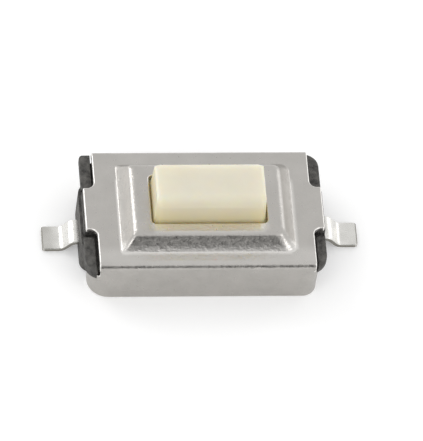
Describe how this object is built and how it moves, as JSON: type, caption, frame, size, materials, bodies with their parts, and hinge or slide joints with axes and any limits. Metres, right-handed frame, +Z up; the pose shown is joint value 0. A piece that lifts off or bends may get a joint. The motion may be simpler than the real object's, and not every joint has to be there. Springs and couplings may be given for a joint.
{
  "type": "tactile push button switch",
  "caption": "Surface-mount tactile switch with an oblong cream button in a stamped metal cover, a moulded base and a gull-wing lead at each end.",
  "frame": {"origin": "centre of the solder footprint, on the board's surface", "axes": "+X along the two terminals, +Z up out of the board and against the button's travel, +Y towards the back wall"},
  "size_m": [0.008, 0.0036, 0.0025],
  "materials": {
    "cover_metal": "stamped plated steel, satin, bright at its edges",
    "button_plastic": "smooth moulded cream plastic",
    "dome_metal": "thin polished spring steel",
    "base_plastic": "rough moulded dark plastic",
    "lead_metal": "bright tin plating over brass strip"
  },
  "bodies": {
    "housing": {"base": "base_plastic", "cover": "cover_metal", "contact_dome": "dome_metal", "terminal_left": "lead_metal", "terminal_right": "lead_metal"},
    "plunger": {"button": "button_plastic"}
  },
  "joints": [
    {"name": "button_press", "type": "slide", "parent": "housing", "child": "plunger", "axis": [0, 0, -1], "range_m": [0, 0.00025], "stiffness_N_per_m": 6400, "springref_m": -0.00001, "deforming": ["contact_dome"]}
  ]
}
